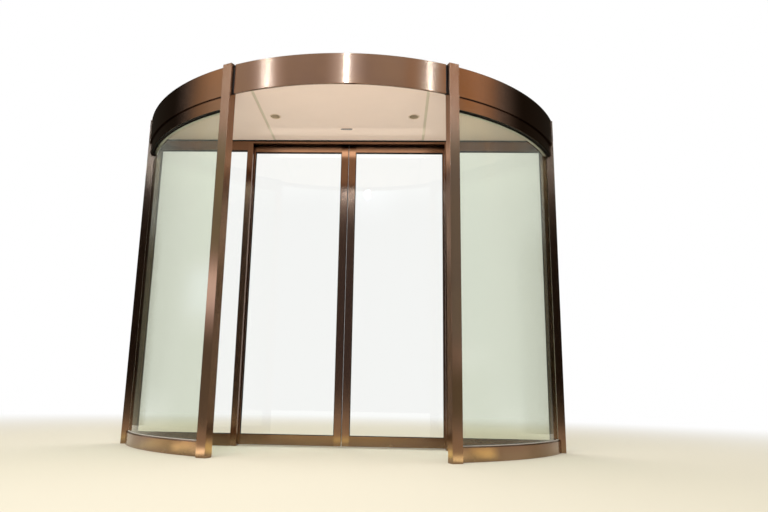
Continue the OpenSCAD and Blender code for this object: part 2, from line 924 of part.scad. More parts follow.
module leaf_wheels(side) {
    color(black_rubber)
        seat()
            on_side(side)
                for (x = hanger_xs) {
                    for (dx = [-1, 1])
                        translate([x + dx * wheel_pitch / 2, bead_y, axle_z])
                            rotate([90, 0, 0])
                                running_wheel();
                    translate([x, bead_y, guard_z])
                        rotate([90, 0, 0])
                            guard_roller();
                }
}

post(-1);  // post_left
post(1);  // post_right
fascia_side(-1);  // fascia_left
fascia_centre();
fascia_side(1);  // fascia_right
ring_beam();
roof_panel();
soffit_side(-1);  // soffit_left
soffit_centre();
soffit_side(1);  // soffit_right
soffit_bars();
downlights();
presence_sensor();
head_rail(-1);  // head_rail_left
head_rail(1);  // head_rail_right
base_rail(-1);  // base_rail_left
base_rail(1);  // base_rail_right
curved_glass(-1);  // curved_glass_left
curved_glass(1);  // curved_glass_right
curved_gaskets(-1);  // curved_gaskets_left
curved_gaskets(1);  // curved_gaskets_right
jamb(-1);  // jamb_left
jamb(1);  // jamb_right
sidelight_stile(-1);  // sidelight_stile_left
sidelight_stile(1);  // sidelight_stile_right
sidelight_rails(-1);  // sidelight_rails_left
sidelight_rails(1);  // sidelight_rails_right
sidelight_glass(-1);  // sidelight_glass_left
sidelight_glass(1);  // sidelight_glass_right
transom_trim();
header_beam();
header_cover();
drive_unit();
drive_belt();
floor_guides();
leaf_stiles(-1);  // leaf_left_stiles
leaf_stiles(1);  // leaf_right_stiles
leaf_rails(-1);  // leaf_left_rails
leaf_rails(1);  // leaf_right_rails
leaf_glass(-1);  // leaf_left_glass
leaf_glass(1);  // leaf_right_glass
leaf_hangers(-1);  // leaf_left_hangers
leaf_hangers(1);  // leaf_right_hangers
leaf_wheels(-1);  // leaf_left_wheels
leaf_wheels(1);  // leaf_right_wheels
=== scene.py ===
# %% [markdown]
# # A curved-front entrance portal
#
# The portal is a segment of a drum in bronze-coloured stainless steel and curved glass, with two
# sliding leaves in a straight glazed screen behind it. Its construction comes from the packed
# model, in metres. This lesson gives each surface its finish, softens the edges of the metal,
# and adds the small pieces that a glazier and a metal worker would fit: gaskets, seals, lenses,
# screws. The frame is loaded first, because the pieces below take their places from it.

# %% Load the frame
import json
from math import acos, asin, cos, degrees, hypot, pi, radians, sin, sqrt

import bpy
from mathutils import Matrix, Vector


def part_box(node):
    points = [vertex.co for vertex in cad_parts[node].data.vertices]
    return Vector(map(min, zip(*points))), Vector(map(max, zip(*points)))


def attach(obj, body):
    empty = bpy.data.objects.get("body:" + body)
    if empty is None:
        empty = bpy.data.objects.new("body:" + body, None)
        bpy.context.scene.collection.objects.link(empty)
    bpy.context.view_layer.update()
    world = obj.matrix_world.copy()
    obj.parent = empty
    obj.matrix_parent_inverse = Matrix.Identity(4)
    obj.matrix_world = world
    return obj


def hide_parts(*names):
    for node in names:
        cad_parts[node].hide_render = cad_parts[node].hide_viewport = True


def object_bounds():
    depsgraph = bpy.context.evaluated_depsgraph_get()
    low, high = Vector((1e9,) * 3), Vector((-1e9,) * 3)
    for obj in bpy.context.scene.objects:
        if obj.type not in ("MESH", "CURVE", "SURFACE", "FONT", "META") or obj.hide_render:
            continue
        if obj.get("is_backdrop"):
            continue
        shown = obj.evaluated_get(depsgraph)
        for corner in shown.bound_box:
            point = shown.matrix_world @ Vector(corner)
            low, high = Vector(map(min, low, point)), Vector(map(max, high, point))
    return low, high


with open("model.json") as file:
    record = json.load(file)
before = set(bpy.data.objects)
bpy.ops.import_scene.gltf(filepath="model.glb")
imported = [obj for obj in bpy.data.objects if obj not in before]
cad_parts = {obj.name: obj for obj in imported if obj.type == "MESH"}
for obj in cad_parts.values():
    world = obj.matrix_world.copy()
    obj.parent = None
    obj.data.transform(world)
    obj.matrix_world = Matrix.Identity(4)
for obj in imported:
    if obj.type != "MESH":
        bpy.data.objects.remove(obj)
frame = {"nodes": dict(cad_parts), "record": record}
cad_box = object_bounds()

nodes = frame["nodes"]
scene = bpy.context.scene
body_of = {}
for body_name, members in frame["record"]["behaviour"]["bodies"].items():
    for member in members:
        body_of[member] = body_name

# %% [markdown]
# The camera stands low, a little to the right of the middle, and looks slightly up. Its place,
# angles and lens were found by fitting the traced edges of the photograph, so they are written
# down as they are. A matrix built from three directions is clearer than three angles when a
# camera both tilts and rolls.

# %% Camera
camera_place = Vector((0.3824, -4.4476, 0.3970))
camera_yaw, camera_pitch, camera_roll = -0.0398, 0.2088, 0.0190
picture_width, picture_height = 768, 512
focal_pixels = 642.0
lens_axis_x, lens_axis_y = 369.53, 257.49

camera_data = bpy.data.cameras.new("low_eye")
camera_data.sensor_width = 36
camera_data.sensor_fit = "HORIZONTAL"
camera_data.lens = focal_pixels / picture_width * camera_data.sensor_width
camera_data.shift_x = (picture_width / 2 - lens_axis_x) / picture_width
camera_data.shift_y = (lens_axis_y - picture_height / 2) / picture_width
camera = bpy.data.objects.new("low_eye", camera_data)
scene.collection.objects.link(camera)

level_right = Vector((cos(camera_yaw), -sin(camera_yaw), 0))
ahead = Vector((sin(camera_yaw) * cos(camera_pitch), cos(camera_yaw) * cos(camera_pitch), sin(camera_pitch)))
level_up = level_right.cross(ahead)
right = level_right * cos(camera_roll) + level_up * sin(camera_roll)
up = level_up * cos(camera_roll) - level_right * sin(camera_roll)
turn = Matrix((right, up, -ahead)).transposed().to_4x4()
camera.matrix_world = Matrix.Translation(camera_place) @ turn
scene.camera = camera
print("lens", round(camera_data.lens, 2), "mm, eye height", camera_place.z, "m")

# %% [markdown]
# Every material below is a tree of nodes. A few small helpers keep those trees readable. One
# starts a material, one adds a node with its settings and constants, and one joins two sockets.
# Another gives noise that is stretched along an axis, which is what brushing, extrusion lines
# and dust streaks all are. It reads Object coordinates. Every finished piece stands at the
# origin with its place in its mesh, so the pattern runs on evenly from one piece to the next.

# %% Node helpers
def empty_tree(owner):
    owner.use_nodes = True
    owner.node_tree.nodes.clear()
    return owner.node_tree


def new_finish(name):
    finish = bpy.data.materials.new(name)
    return finish, empty_tree(finish)


def add(tree, kind, constants=None, **settings):
    node = tree.nodes.new(kind)
    for name, value in settings.items():
        setattr(node, name, value)
    for socket, value in (constants or {}).items():
        node.inputs[socket].default_value = value
    return node


def join(tree, source, target):
    tree.links.new(source, target)


def stretched_noise(tree, repeats_per_metre, detail=4, roughness=0.6):
    place = add(tree, "ShaderNodeTexCoord")
    stretch = add(tree, "ShaderNodeMapping", {"Scale": repeats_per_metre})
    noise = add(tree, "ShaderNodeTexNoise", {"Scale": 1, "Detail": detail, "Roughness": roughness})
    join(tree, place.outputs["Object"], stretch.inputs["Vector"])
    join(tree, stretch.outputs["Vector"], noise.inputs["Vector"])
    return noise.outputs["Fac"]


print("node helpers ready")

# %% [markdown]
# The next helpers shape what comes out of a node. They remap a value to another span, blend two
# colours, do one sum, and turn a height into a bump. The last two mix two shaders and send the
# result to the surface.

# %% Helpers for values and shaders
def remap(tree, value, low, high, from_low=0.0, from_high=1.0, kind="LINEAR"):
    spans = {"From Min": from_low, "From Max": from_high, "To Min": low, "To Max": high}
    node = add(tree, "ShaderNodeMapRange", spans, interpolation_type=kind)
    join(tree, value, node.inputs["Value"])
    return node.outputs["Result"]


def blend_colours(tree, factor, first, second):
    node = add(tree, "ShaderNodeMix", data_type="RGBA")
    for socket, colour in (("A", first), ("B", second)):
        if isinstance(colour, tuple):
            node.inputs[socket].default_value = (*colour, 1)
        else:
            join(tree, colour, node.inputs[socket])
    join(tree, factor, node.inputs["Factor"])
    return node.outputs["Result"]


def combine(tree, operation, first, second):
    node = add(tree, "ShaderNodeMath", operation=operation)
    for socket, value in zip(node.inputs, (first, second)):
        if isinstance(value, (int, float)):
            socket.default_value = value
        else:
            join(tree, value, socket)
    return node.outputs[0]


def object_axes(tree):
    place = add(tree, "ShaderNodeTexCoord")
    axes = add(tree, "ShaderNodeSeparateXYZ")
    join(tree, place.outputs["Object"], axes.inputs[0])
    return axes.outputs


def height_bump(tree, height, depth, strength=1.0):
    node = add(tree, "ShaderNodeBump", {"Strength": strength, "Distance": depth})
    join(tree, height, node.inputs["Height"])
    return node.outputs["Normal"]


def mix_shaders(tree, factor, first, second):
    node = add(tree, "ShaderNodeMixShader")
    join(tree, factor, node.inputs["Fac"])
    join(tree, first.outputs[0], node.inputs[1])
    join(tree, second.outputs[0], node.inputs[2])
    return node


def show(tree, shader, output="ShaderNodeOutputMaterial"):
    end = add(tree, output)
    join(tree, shader.outputs[0], end.inputs["Surface"])


print("value and shader helpers ready")

# %% [markdown]
# The stage is a plain cream floor under a white surround. Far from the portal the floor fades
# into that white, so no horizon line cuts across the glass. The same white is what metal and
# glass reflect and what shows through the panes, while matt surfaces are lit by a calmer level,
# so that paint renders about as it is written. The Light Path node tells these rays apart. The
# helper that adds a primitive deselects all else first, because an operator acts on everything
# that is selected.

# %% Floor and surround
def new_primitive(add_shape, name, location=(0, 0, 0), **measures):
    bpy.ops.object.select_all(action="DESELECT")
    add_shape(location=location, **measures)
    bpy.context.object.name = name
    return bpy.context.object


def picture_rays(tree):
    path = add(tree, "ShaderNodeLightPath")
    shiny = combine(tree, "MAXIMUM", path.outputs["Is Camera Ray"], path.outputs["Is Glossy Ray"])
    return combine(tree, "MAXIMUM", shiny, path.outputs["Is Transmission Ray"])


floor_radius = 30
fade_from, fade_to = 2.4, 8
floor_cream = (0.84, 0.79, 0.655)
surround_light, surround_tint = 0.72, (1, 0.985, 0.96)

disc = {"vertices": 96, "radius": floor_radius, "fill_type": "NGON"}
floor = new_primitive(bpy.ops.mesh.primitive_circle_add, "pale_floor", **disc)
floor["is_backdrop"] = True

floor_paint, tree = new_finish("pale_floor")
place = add(tree, "ShaderNodeTexCoord")
reach = add(tree, "ShaderNodeVectorMath", operation="LENGTH")
join(tree, place.outputs["Object"], reach.inputs[0])
fade = remap(tree, reach.outputs["Value"], 0, 1, fade_from, fade_to, "SMOOTHSTEP")
matt_cream = {"Base Color": (*floor_cream, 1), "Roughness": 0.6, "Specular IOR Level": 0}
paint = add(tree, "ShaderNodeBsdfPrincipled", matt_cream)
white = add(tree, "ShaderNodeEmission")
show(tree, mix_shaders(tree, combine(tree, "MULTIPLY", picture_rays(tree), fade), paint, white))
floor.data.materials.append(floor_paint)

world = bpy.data.worlds.new("white_surround")
scene.world = world
tree = empty_tree(world)
lit = add(tree, "ShaderNodeBackground", {"Color": (*surround_tint, 1), "Strength": surround_light})
seen = add(tree, "ShaderNodeBackground", {"Color": (1, 1, 1, 1)})
show(tree, mix_shaders(tree, picture_rays(tree), lit, seen), "ShaderNodeOutputWorld")
scene.view_settings.view_transform = "Standard"
print("floor radius", floor_radius, "m, surround", surround_light)

# %% [markdown]
# Two kinds of lamp light the portal. Broad panels overhead, in front and behind, give soft
# shadows, and panels that lie on the floor and face straight up lift the soffit, as a bright
# floor would. The metal doesn't mirror these. Narrow upright lamps stand where the fascia
# mirrors them towards the camera, and brushing spreads each one into a bright upright streak.
# Matt surfaces don't see them. They are bluish, because bronze would turn a white lamp orange.

# %% Lamps
def soft_lamp(name, place, target, size, watts, tint, only_in_metal=False):
    data = bpy.data.lights.new(name, "AREA")
    data.shape = "RECTANGLE"
    data.size, data.size_y = size
    data.energy = watts
    data.color = tint
    lamp = bpy.data.objects.new(name, data)
    scene.collection.objects.link(lamp)
    lamp.location = place
    lamp.rotation_euler = (Vector(target) - Vector(place)).to_track_quat("-Z", "Y").to_euler()
    lamp.visible_camera = False
    lamp.visible_transmission = False
    lamp.visible_glossy = only_in_metal
    lamp.visible_diffuse = not only_in_metal


panel_tint, uplight_tint, streak_tint = (1, 0.96, 0.90), (1, 0.95, 0.90), (0.50, 0.75, 1.0)
soft_lamp("overhead_panel", (-0.8, -3.2, 4.6), (0, 0, 1.0), (3.0, 1.6), 130, panel_tint)
soft_lamp("overhead_back", (0, 3.5, 4.6), (0, 1.5, 0), (3.0, 1.6), 50, panel_tint)
soft_lamp("uplight_front", (0, -0.1, 0.02), (0, -0.1, 2.4), (2.0, 0.8), 24, uplight_tint)
soft_lamp("uplight_back", (0, 1.3, 0.02), (0, 1.3, 2.4), (2.2, 0.9), 3, uplight_tint)

streak_places = ((-2.15, -2.35, 3.6), (0.01, -2.76, 3.6), (2.13, -2.17, 3.6))
streak_targets = [(0, 1.16, place[2]) for place in streak_places]
for number, (place, target, watts) in enumerate(zip(streak_places, streak_targets, (38, 23, 20))):
    soft_lamp(f"streak_lamp_{number}", place, target, (0.06, 1.3), watts, streak_tint, only_in_metal=True)

# %% [markdown]
# A curved mirror-like surface in an all-white room would look flat. As a photographer of metal
# does, this stage has boards that show only in reflections. Each board fades out towards its
# edges, because a hard edge would show as a line in the brushed metal. The Light Path node's
# Glossy Depth counts the mirror bounces that a ray has made, so a board stays clear until the
# first one. A board that metal should also mirror through a pane stays visible to transmission.

# %% Boards that the metal reflects
def reflected_board(name, place, target, size, tone, soft_edge, through_glass=False):
    board = new_primitive(bpy.ops.mesh.primitive_plane_add, name, size=1)
    bpy.ops.transform.resize(value=(size[0], size[1], 1))
    bpy.ops.object.transform_apply(location=False, rotation=False, scale=True)
    board.location = place
    board.rotation_euler = (Vector(target) - Vector(place)).to_track_quat("Z", "Y").to_euler()
    board.visible_camera = False
    board.visible_diffuse = False
    board.visible_transmission = through_glass
    board.visible_shadow = False
    board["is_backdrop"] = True
    finish, tree = new_finish(name)
    axes = object_axes(tree)
    path = add(tree, "ShaderNodeLightPath")
    cover = combine(tree, "MINIMUM", path.outputs["Glossy Depth"], 1)
    for axis, length, edge in zip("XY", size, soft_edge):
        offset = combine(tree, "ABSOLUTE", axes[axis], 0)
        share = remap(tree, offset, 1, 0, length / 2 - edge, length / 2, "SMOOTHSTEP")
        cover = combine(tree, "MULTIPLY", cover, share)
    glow = add(tree, "ShaderNodeEmission", {"Color": (*tone, 1)})
    clear = add(tree, "ShaderNodeBsdfTransparent")
    show(tree, mix_shaders(tree, cover, clear, glow))
    board.data.materials.append(finish)


print("board helper ready")

# %% [markdown]
# Dark boards close beside the portal and off its front corners give the fascia and the jambs
# their deep ends. A wide dim one in front keeps the middle from going white. Warm ones at the
# sides and high up fill the posts' side faces and the outer thirds of the fascia. A pale glow
# behind each streak lamp gives its streak a soft start.

# %% Boards round the portal
screen_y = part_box("jamb_right")[0].y
near_x = cad_box[1].x + 0.05
near_tone, corner_tone = (0.030, 0.026, 0.020), (0.012, 0.011, 0.010)
front_tone, side_tone = (0.17, 0.17, 0.20), (0.30, 0.27, 0.20)
round_boards = (
    ("near_left", (-near_x, 1.2, 2.275), (0, 1.2, 2.275), (3.8, 4.45), near_tone, (0.75, 0.5)),
    ("corner_left", (-3.0, -3.1, 1.2), (-1.58, screen_y, 1.2), (3.4, 3.6), corner_tone, (0.8, 0.9), True),
    ("near_right", (near_x, 1.2, 2.275), (0, 1.2, 2.275), (3.8, 4.45), near_tone, (0.75, 0.5)),
    ("corner_right", (2.45, -3.1, 1.2), (1.58, screen_y, 1.2), (3.4, 3.6), corner_tone, (0.8, 0.9), True),
    ("front", (0, -9.0, 2.0), (0, 0, 2.0), (20, 7.0), front_tone, (2.5, 0.9), True),
    ("side_left", (-3.4, 2.3, 1.0), (0, -0.48, 1.0), (2.6, 3.0), side_tone, (0.7, 0.6), True),
    ("side_right", (3.8, 1.5, 1.0), (0, -0.48, 1.0), (2.6, 3.0), side_tone, (0.7, 0.6), True),
    ("high_left", (-3.9, -0.9, 3.7), (0, -0.35, 2.45), (2.4, 3.0), (1.15, 0.90, 0.66), (0.8, 0.8)),
    ("high_right", (3.9, -1.35, 3.9), (0, -0.35, 2.45), (2.4, 3.0), (1.35, 0.98, 0.66), (0.8, 0.8)),
)
for name, *setting in round_boards:
    reflected_board(f"{name}_board", *setting)
streak_tones = ((1.9, 2.1, 2.4), (1.95, 2.2, 2.5), (1.35, 1.6, 1.8))
for number, (place, target, tone) in enumerate(zip(streak_places, streak_targets, streak_tones)):
    reflected_board(f"streak_glow_{number}", place, target, (1.2, 2.2), tone, (0.6, 0.7))
print("boards round the portal:", len(round_boards) + len(streak_tones))

# %% [markdown]
# A post's face is flat and upright, so each height on it mirrors one height of what stands a
# few metres away, in the level direction in which a ray from the camera leaves the face. Bands
# of boards there give each post its long gradient. Each stands a little further out than the
# last, so that their soft edges overlap in a fixed order.

# %% Bands that the posts mirror
left_post, left_way = Vector((-0.769, -0.479, 0)), Vector((-0.913, -0.407, 0))
right_post, right_way = Vector((0.769, -0.479, 0)), Vector((0.829, -0.559, 0))
band_distance, band_step = 3.0, 0.02
band_width, band_side_edge = 4.6, 1.2
post_bands = (
    (left_post, left_way, 0.45, 1.3, (0.34, 0.35, 0.30), 0.2),
    (left_post, left_way, 1.48, 0.8, (2.30, 2.50, 2.90), 0.3),
    (left_post, left_way, 2.62, 1.7, (0.58, 0.70, 0.55), 0.3),
    (left_post, left_way, 3.55, 0.8, (1.10, 1.05, 0.95), 0.3),
    (right_post, right_way, 0.38, 0.9, (0.34, 0.36, 0.27), 0.3),
    (right_post, right_way, 2.20, 2.8, (0.50, 0.60, 0.60), 0.3),
    (right_post, right_way, 4.30, 1.5, (0.90, 0.52, 0.18), 0.3),
)
for number, (post, way, height, tall, tone, edge) in enumerate(post_bands):
    aim = post + Vector((0, 0, height))
    place = aim + way * (band_distance + band_step * number)
    reflected_board(f"post_board_{number}", place, aim, (band_width, tall), tone, (band_side_edge, edge))
print("bands for the posts:", len(post_bands))

# %% [markdown]
# The rails mirror the floor and the soffit. Small bright boards just over the floor brighten the
# curved base rails and the feet of the leaves. One slim board under the soffit brightens the
# transom trim.

# %% Glows on the floor and the soffit
glow_gap, glow_edge_share = 0.004, 0.3
floor_glows = (
    (-1.13, -0.64, 0.5, 0.5, (5.2, 4.9, 4.0)),
    (-1.75, -0.12, 0.8, 0.6, (1.9, 1.9, 1.1)),
    (1.00, -0.63, 0.4, 0.4, (3.2, 3.1, 2.2)),
    (-1.38, -0.42, 0.5, 0.35, (6.0, 5.8, 3.8)),
    (1.30, -0.45, 0.4, 0.35, (5.0, 4.6, 2.2)),
    (-0.10, -0.15, 1.6, 0.5, (2.6, 2.5, 1.2)),
)
for number, (x, y, wide, deep, tone) in enumerate(floor_glows):
    soft_edge = (wide * glow_edge_share, deep * glow_edge_share)
    reflected_board(f"floor_glow_{number}", (x, y, glow_gap), (x, y, 1), (wide, deep), tone, soft_edge)
under_soffit = (0, 0.27, round(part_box("soffit_centre")[0].z, 4) - glow_gap)
reflected_board("soffit_glow", under_soffit, (0, 0.27, 0), (1.5, 0.16), (3.2, 2.9, 2.5), (0.2, 0.03))

# %% [markdown]
# The frame is stainless steel with a bronze colour, brushed with an abrasive belt. The grain's
# fine scratches let light spread across them but hardly along them, and the shader's
# anisotropy does just that. On the fascia and all rails the grain runs along, and on posts,
# stiles and jambs it runs upright, so there are two versions of one finish, the upright one a
# little less glossy. The Tangent node gives a level direction on every upright face, and a
# quarter turn of it changes from one grain to the other. Noise stretched along the grain
# varies gloss and height. Softer noise adds clouding, and dust dulls the lowest hand's width.
# Noise seldom leaves the span from 0.3 to 0.7, so that span is remapped and not the whole.

# %% Brushed bronze
bronze, bronze_warm, dust = (0.232, 0.133, 0.089), (0.268, 0.150, 0.090), (0.40, 0.30, 0.17)
dust_height, most_dust = 0.11, 0.55
fine_grain, coarse_grain = (1400, 1.5), (160, 0.8)
gloss_upright, gloss_along = (0.17, 0.25), (0.14, 0.21)
usual_noise = (0.3, 0.7)
quarter_turn = 0.25


def grain_scale(across, along, upright):
    return (across, across, along) if upright else (along, along, across)


def bare_metal(tree, colour, gloss, normal=None):
    metal = add(tree, "ShaderNodeBsdfPrincipled", {"Metallic": 1})
    join(tree, colour, metal.inputs["Base Color"])
    join(tree, gloss, metal.inputs["Roughness"])
    if normal:
        join(tree, normal, metal.inputs["Normal"])
    return metal


def brushed_bronze(name, upright):
    finish, tree = new_finish(name)
    scratches = stretched_noise(tree, grain_scale(*fine_grain, upright), detail=3)
    bands = stretched_noise(tree, grain_scale(*coarse_grain, upright), detail=5, roughness=0.7)
    clouds = stretched_noise(tree, (2.2, 2.2, 2.2), detail=4)
    smears = stretched_noise(tree, (9, 9, 5), detail=6, roughness=0.65)

    tone = blend_colours(tree, remap(tree, clouds, 0, 1, *usual_noise), bronze, bronze_warm)
    low = remap(tree, object_axes(tree)["Z"], most_dust, 0, 0.0, dust_height, "SMOOTHSTEP")
    settled = combine(tree, "MULTIPLY", low, remap(tree, smears, 0.4, 0.9, 0.25, 0.80))
    colour = blend_colours(tree, settled, tone, dust)

    gloss = remap(tree, bands, *(gloss_upright if upright else gloss_along))
    gloss = combine(tree, "ADD", gloss, remap(tree, smears, -0.02, 0.05, 0.3, 0.8))
    gloss = combine(tree, "ADD", gloss, combine(tree, "MULTIPLY", settled, 0.2))
    heights = combine(tree, "ADD", scratches, combine(tree, "MULTIPLY", bands, 0.6))

    metal = bare_metal(tree, colour, gloss, height_bump(tree, heights, 0.00002, 0.5))
    metal.inputs["Anisotropic"].default_value = 0.9
    metal.inputs["Anisotropic Rotation"].default_value = 0 if upright else quarter_turn
    tangent = add(tree, "ShaderNodeTangent", direction_type="RADIAL", axis="Z")
    join(tree, tangent.outputs[0], metal.inputs["Tangent"])
    show(tree, metal)
    return finish


bronze_along = brushed_bronze("bronze_brushed_along", upright=False)
bronze_upright = brushed_bronze("bronze_brushed_upright", upright=True)
print("grain", fine_grain[0], "lines a metre, finer than", round(1000 / fine_grain[0], 2), "mm")

# %% [markdown]
# The soffit boards are sheet metal with a warm white satin paint. Sprayed paint has a faint
# orange-peel skin. The strips in the joints between boards are a quieter grey-green. One
# function makes both, with colour, gloss and skin as parameters. It also gives the moulded
# rubber, nylon and glazing seal, with their finer skin, and the downlights and the sensor.

# %% Paint, rubber and nylon
gloss_swing = 0.05


def coated(name, colour, roughness, skin_size, skin_depth, unevenness, shine=0.5):
    finish, tree = new_finish(name)
    clouds = stretched_noise(tree, (4, 4, 4), detail=4)
    skin = stretched_noise(tree, (1 / skin_size,) * 3, detail=2)
    darker = tuple(c * (1 - unevenness) for c in colour)
    lighter = tuple(min(1, c * (1 + unevenness)) for c in colour)
    body = add(tree, "ShaderNodeBsdfPrincipled", {"Specular IOR Level": shine})
    mottled = blend_colours(tree, remap(tree, clouds, 0, 1, *usual_noise), darker, lighter)
    gloss = remap(tree, clouds, roughness - gloss_swing, roughness + gloss_swing, *usual_noise)
    join(tree, mottled, body.inputs["Base Color"])
    join(tree, gloss, body.inputs["Roughness"])
    join(tree, height_bump(tree, skin, skin_depth), body.inputs["Normal"])
    show(tree, body)
    return finish


soffit_white = coated("soffit_paint", (0.84, 0.69, 0.61), 0.42, 0.004, 0.00004, 0.015, shine=0.05)
strip_green = coated("joint_strip_paint", (0.62, 0.54, 0.42), 0.5, 0.004, 0.00004, 0.03)
rubber = coated("black_rubber", (0.013, 0.013, 0.013), 0.6, 0.0015, 0.00005, 0.3, shine=0.2)
nylon = coated("black_nylon", (0.030, 0.030, 0.031), 0.35, 0.001, 0.00002, 0.1)
ring_brown = coated("downlight_ring", (0.70, 0.55, 0.42), 0.42, 0.004, 0.00004, 0.02)
seal_pale = coated("glazing_seal", (0.78, 0.74, 0.67), 0.55, 0.0015, 0.00005, 0.05, shine=0.2)
reflector_coat = coated("downlight_reflector", (0.56, 0.47, 0.36), 0.35, 0.003, 0.00003, 0.05)
lens_grey = coated("downlight_lens", (0.36, 0.30, 0.24), 0.25, 0.002, 0.00006, 0.05)
sensor_black = coated("sensor_window", (0.006, 0.006, 0.008), 0.12, 0.01, 0.00001, 0.2)
print("paints:", soffit_white.name, strip_green.name)

# %% [markdown]
# All panes are 12 mm safety glass. The flat ones are nearly clear. The curved ones are laminated
# and have a faint green-yellow cast. Toughening leaves roller waves that make reflections swim
# a little, so the surface gets a very long, very shallow bump. Lamps see the glass as a tinted
# hole, by a mix on shadow rays. Otherwise the panes would put the soffit in the dark.

# %% Glass
wave_length, wave_depth = 0.25, 0.00004


def window_glass(name, tint):
    finish, tree = new_finish(name)
    waves = stretched_noise(tree, (1 / wave_length,) * 3, detail=1)
    polished = {"Base Color": (*tint, 1), "Roughness": 0, "IOR": 1.5, "Transmission Weight": 1}
    glass = add(tree, "ShaderNodeBsdfPrincipled", polished)
    join(tree, height_bump(tree, waves, wave_depth), glass.inputs["Normal"])
    clear = add(tree, "ShaderNodeBsdfTransparent", {"Color": (*tint, 1)})
    path = add(tree, "ShaderNodeLightPath")
    show(tree, mix_shaders(tree, path.outputs["Is Shadow Ray"], glass, clear))
    return finish


curved_pane_glass = window_glass("tinted_laminated_glass", (0.75, 0.785, 0.67))
flat_pane_glass = window_glass("clear_toughened_glass", (0.965, 0.975, 0.955))
print("roller waves", wave_length, "m long")

# %% [markdown]
# Two bare metals stay mostly out of sight: the extruded aluminium header, and the zinc-coated
# ring beam, roof sheet, hangers and guides. An extrusion has straight die lines along its
# length. A zinc coat freezes into flat crystals, the spangle, and each crystal has its own
# tone and gloss. Voronoi cells are that pattern.

# %% Aluminium and zinc
die_line_scale = (0.6, 900, 900)
spangle_size = 0.012


def extruded_aluminium(name):
    finish, tree = new_finish(name)
    die_lines = stretched_noise(tree, die_line_scale, detail=3)
    colour = blend_colours(tree, die_lines, (0.66, 0.67, 0.68), (0.78, 0.79, 0.80))
    gloss = remap(tree, die_lines, 0.30, 0.46)
    show(tree, bare_metal(tree, colour, gloss, height_bump(tree, die_lines, 0.00003, 0.5)))
    return finish


def zinc_coat(name):
    finish, tree = new_finish(name)
    place = add(tree, "ShaderNodeTexCoord")
    crystals = add(tree, "ShaderNodeTexVoronoi", {"Scale": 1 / spangle_size})
    tone = add(tree, "ShaderNodeSeparateColor")
    join(tree, place.outputs["Object"], crystals.inputs["Vector"])
    join(tree, crystals.outputs["Color"], tone.inputs[0])
    colour = blend_colours(tree, tone.outputs[0], (0.50, 0.52, 0.54), (0.64, 0.66, 0.68))
    show(tree, bare_metal(tree, colour, remap(tree, tone.outputs[1], 0.36, 0.56)))
    return finish


aluminium = extruded_aluminium("mill_aluminium")
zinc = zinc_coat("galvanised_steel")
print("bare metals:", aluminium.name, zinc.name)

# %% [markdown]
# Each node's record entry names the slot that it takes its finish from. The bronze slot has
# two grains, so the node's name decides between them: posts, stiles and jambs are upright
# pieces, and everything else runs along. The downlights share the soffit's slot, but their
# rings are a little browner than the boards.

# %% Finish of every node
finish_of_slot = {
    "soffit_paint": soffit_white,
    "joint_strip": strip_green,
    "tinted_glass": curved_pane_glass,
    "clear_glass": flat_pane_glass,
    "black_rubber": rubber,
    "black_nylon": nylon,
    "mill_aluminium": aluminium,
    "galvanised_steel": zinc,
}
slot_of = {entry["node"]: entry["material_slot"] for entry in frame["record"]["subparts"]}


def finish_for(node_name):
    if node_name == "downlights":
        return ring_brown
    if slot_of[node_name] != "bronze_steel":
        return finish_of_slot[slot_of[node_name]]
    stands_up = any(word in node_name for word in ("post", "stile", "jamb"))
    return bronze_upright if stands_up else bronze_along


for node_name, node in nodes.items():
    node.data.materials.clear()
    node.data.materials.append(finish_for(node_name))
print("finishes set on", len(nodes), "nodes")

# %% [markdown]
# Every new piece ends in the same few steps. Its edges are rounded by a bevel modifier where
# they are sharper than 30 degrees. Angles below 20 degrees are shaded smooth, which joins the
# facets of a curve. Weighted normals then keep each big flat face truly flat, so that a small
# bevel at its corner doesn't tilt the reflection in it. The piece gets its finish and the body
# that it rides on.

# %% Steps that end every piece
def select_only(piece):
    bpy.ops.object.select_all(action="DESELECT")
    piece.select_set(True)
    bpy.context.view_layer.objects.active = piece


def edit(piece):
    select_only(piece)
    bpy.ops.object.mode_set(mode="EDIT")


def leave_edit():
    bpy.ops.object.mode_set(mode="OBJECT")


def copy_of(source, name):
    piece = bpy.data.objects.new(name, source.data.copy())
    scene.collection.objects.link(piece)
    select_only(piece)
    return piece


def apply_modifier(piece, kind, **settings):
    select_only(piece)
    modifier = piece.modifiers.new(kind.lower(), kind)
    for name, value in settings.items():
        setattr(modifier, name, value)
    bpy.ops.object.modifier_apply(modifier=modifier.name)


def apply_bevel(piece, width, segments=2):
    sharp = {"limit_method": "ANGLE", "angle_limit": radians(30)}
    apply_modifier(piece, "BEVEL", width=width, segments=segments, **sharp)


def finish_piece(piece, finish, body="portal", smooth_below=20):
    select_only(piece)
    piece.data.materials.clear()
    piece.data.materials.append(finish)
    bpy.ops.object.shade_smooth_by_angle(angle=radians(smooth_below))
    apply_modifier(piece, "WEIGHTED_NORMAL", weight=100, keep_sharp=True)
    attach(piece, body)


print("finishing helpers ready")

# %% [markdown]
# Folded sheet has no razor edges: each fold has a small radius, and that radius catches a thin
# line of light. A CAD node's mesh may not change, so a copy of it is merged, its flat faces are dissolved
# into whole ones, and a bevel rounds it. The node is hidden and the copy takes its place. Panes get the
# same treatment, because a glazier takes the sharpness off their edges with a stone.

# %% Eased edges
merge_within = 0.00001
flat_within = radians(0.2)
fold_radius = {"post": 0.0012, "fascia": 0.0010, "head_rail": 0.0008, "base_rail": 0.0005, "jamb": 0.0008,
               "stile": 0.0008, "rails": 0.0008, "transom_trim": 0.0008, "header_cover": 0.0010,
               "glass": 0.0010}


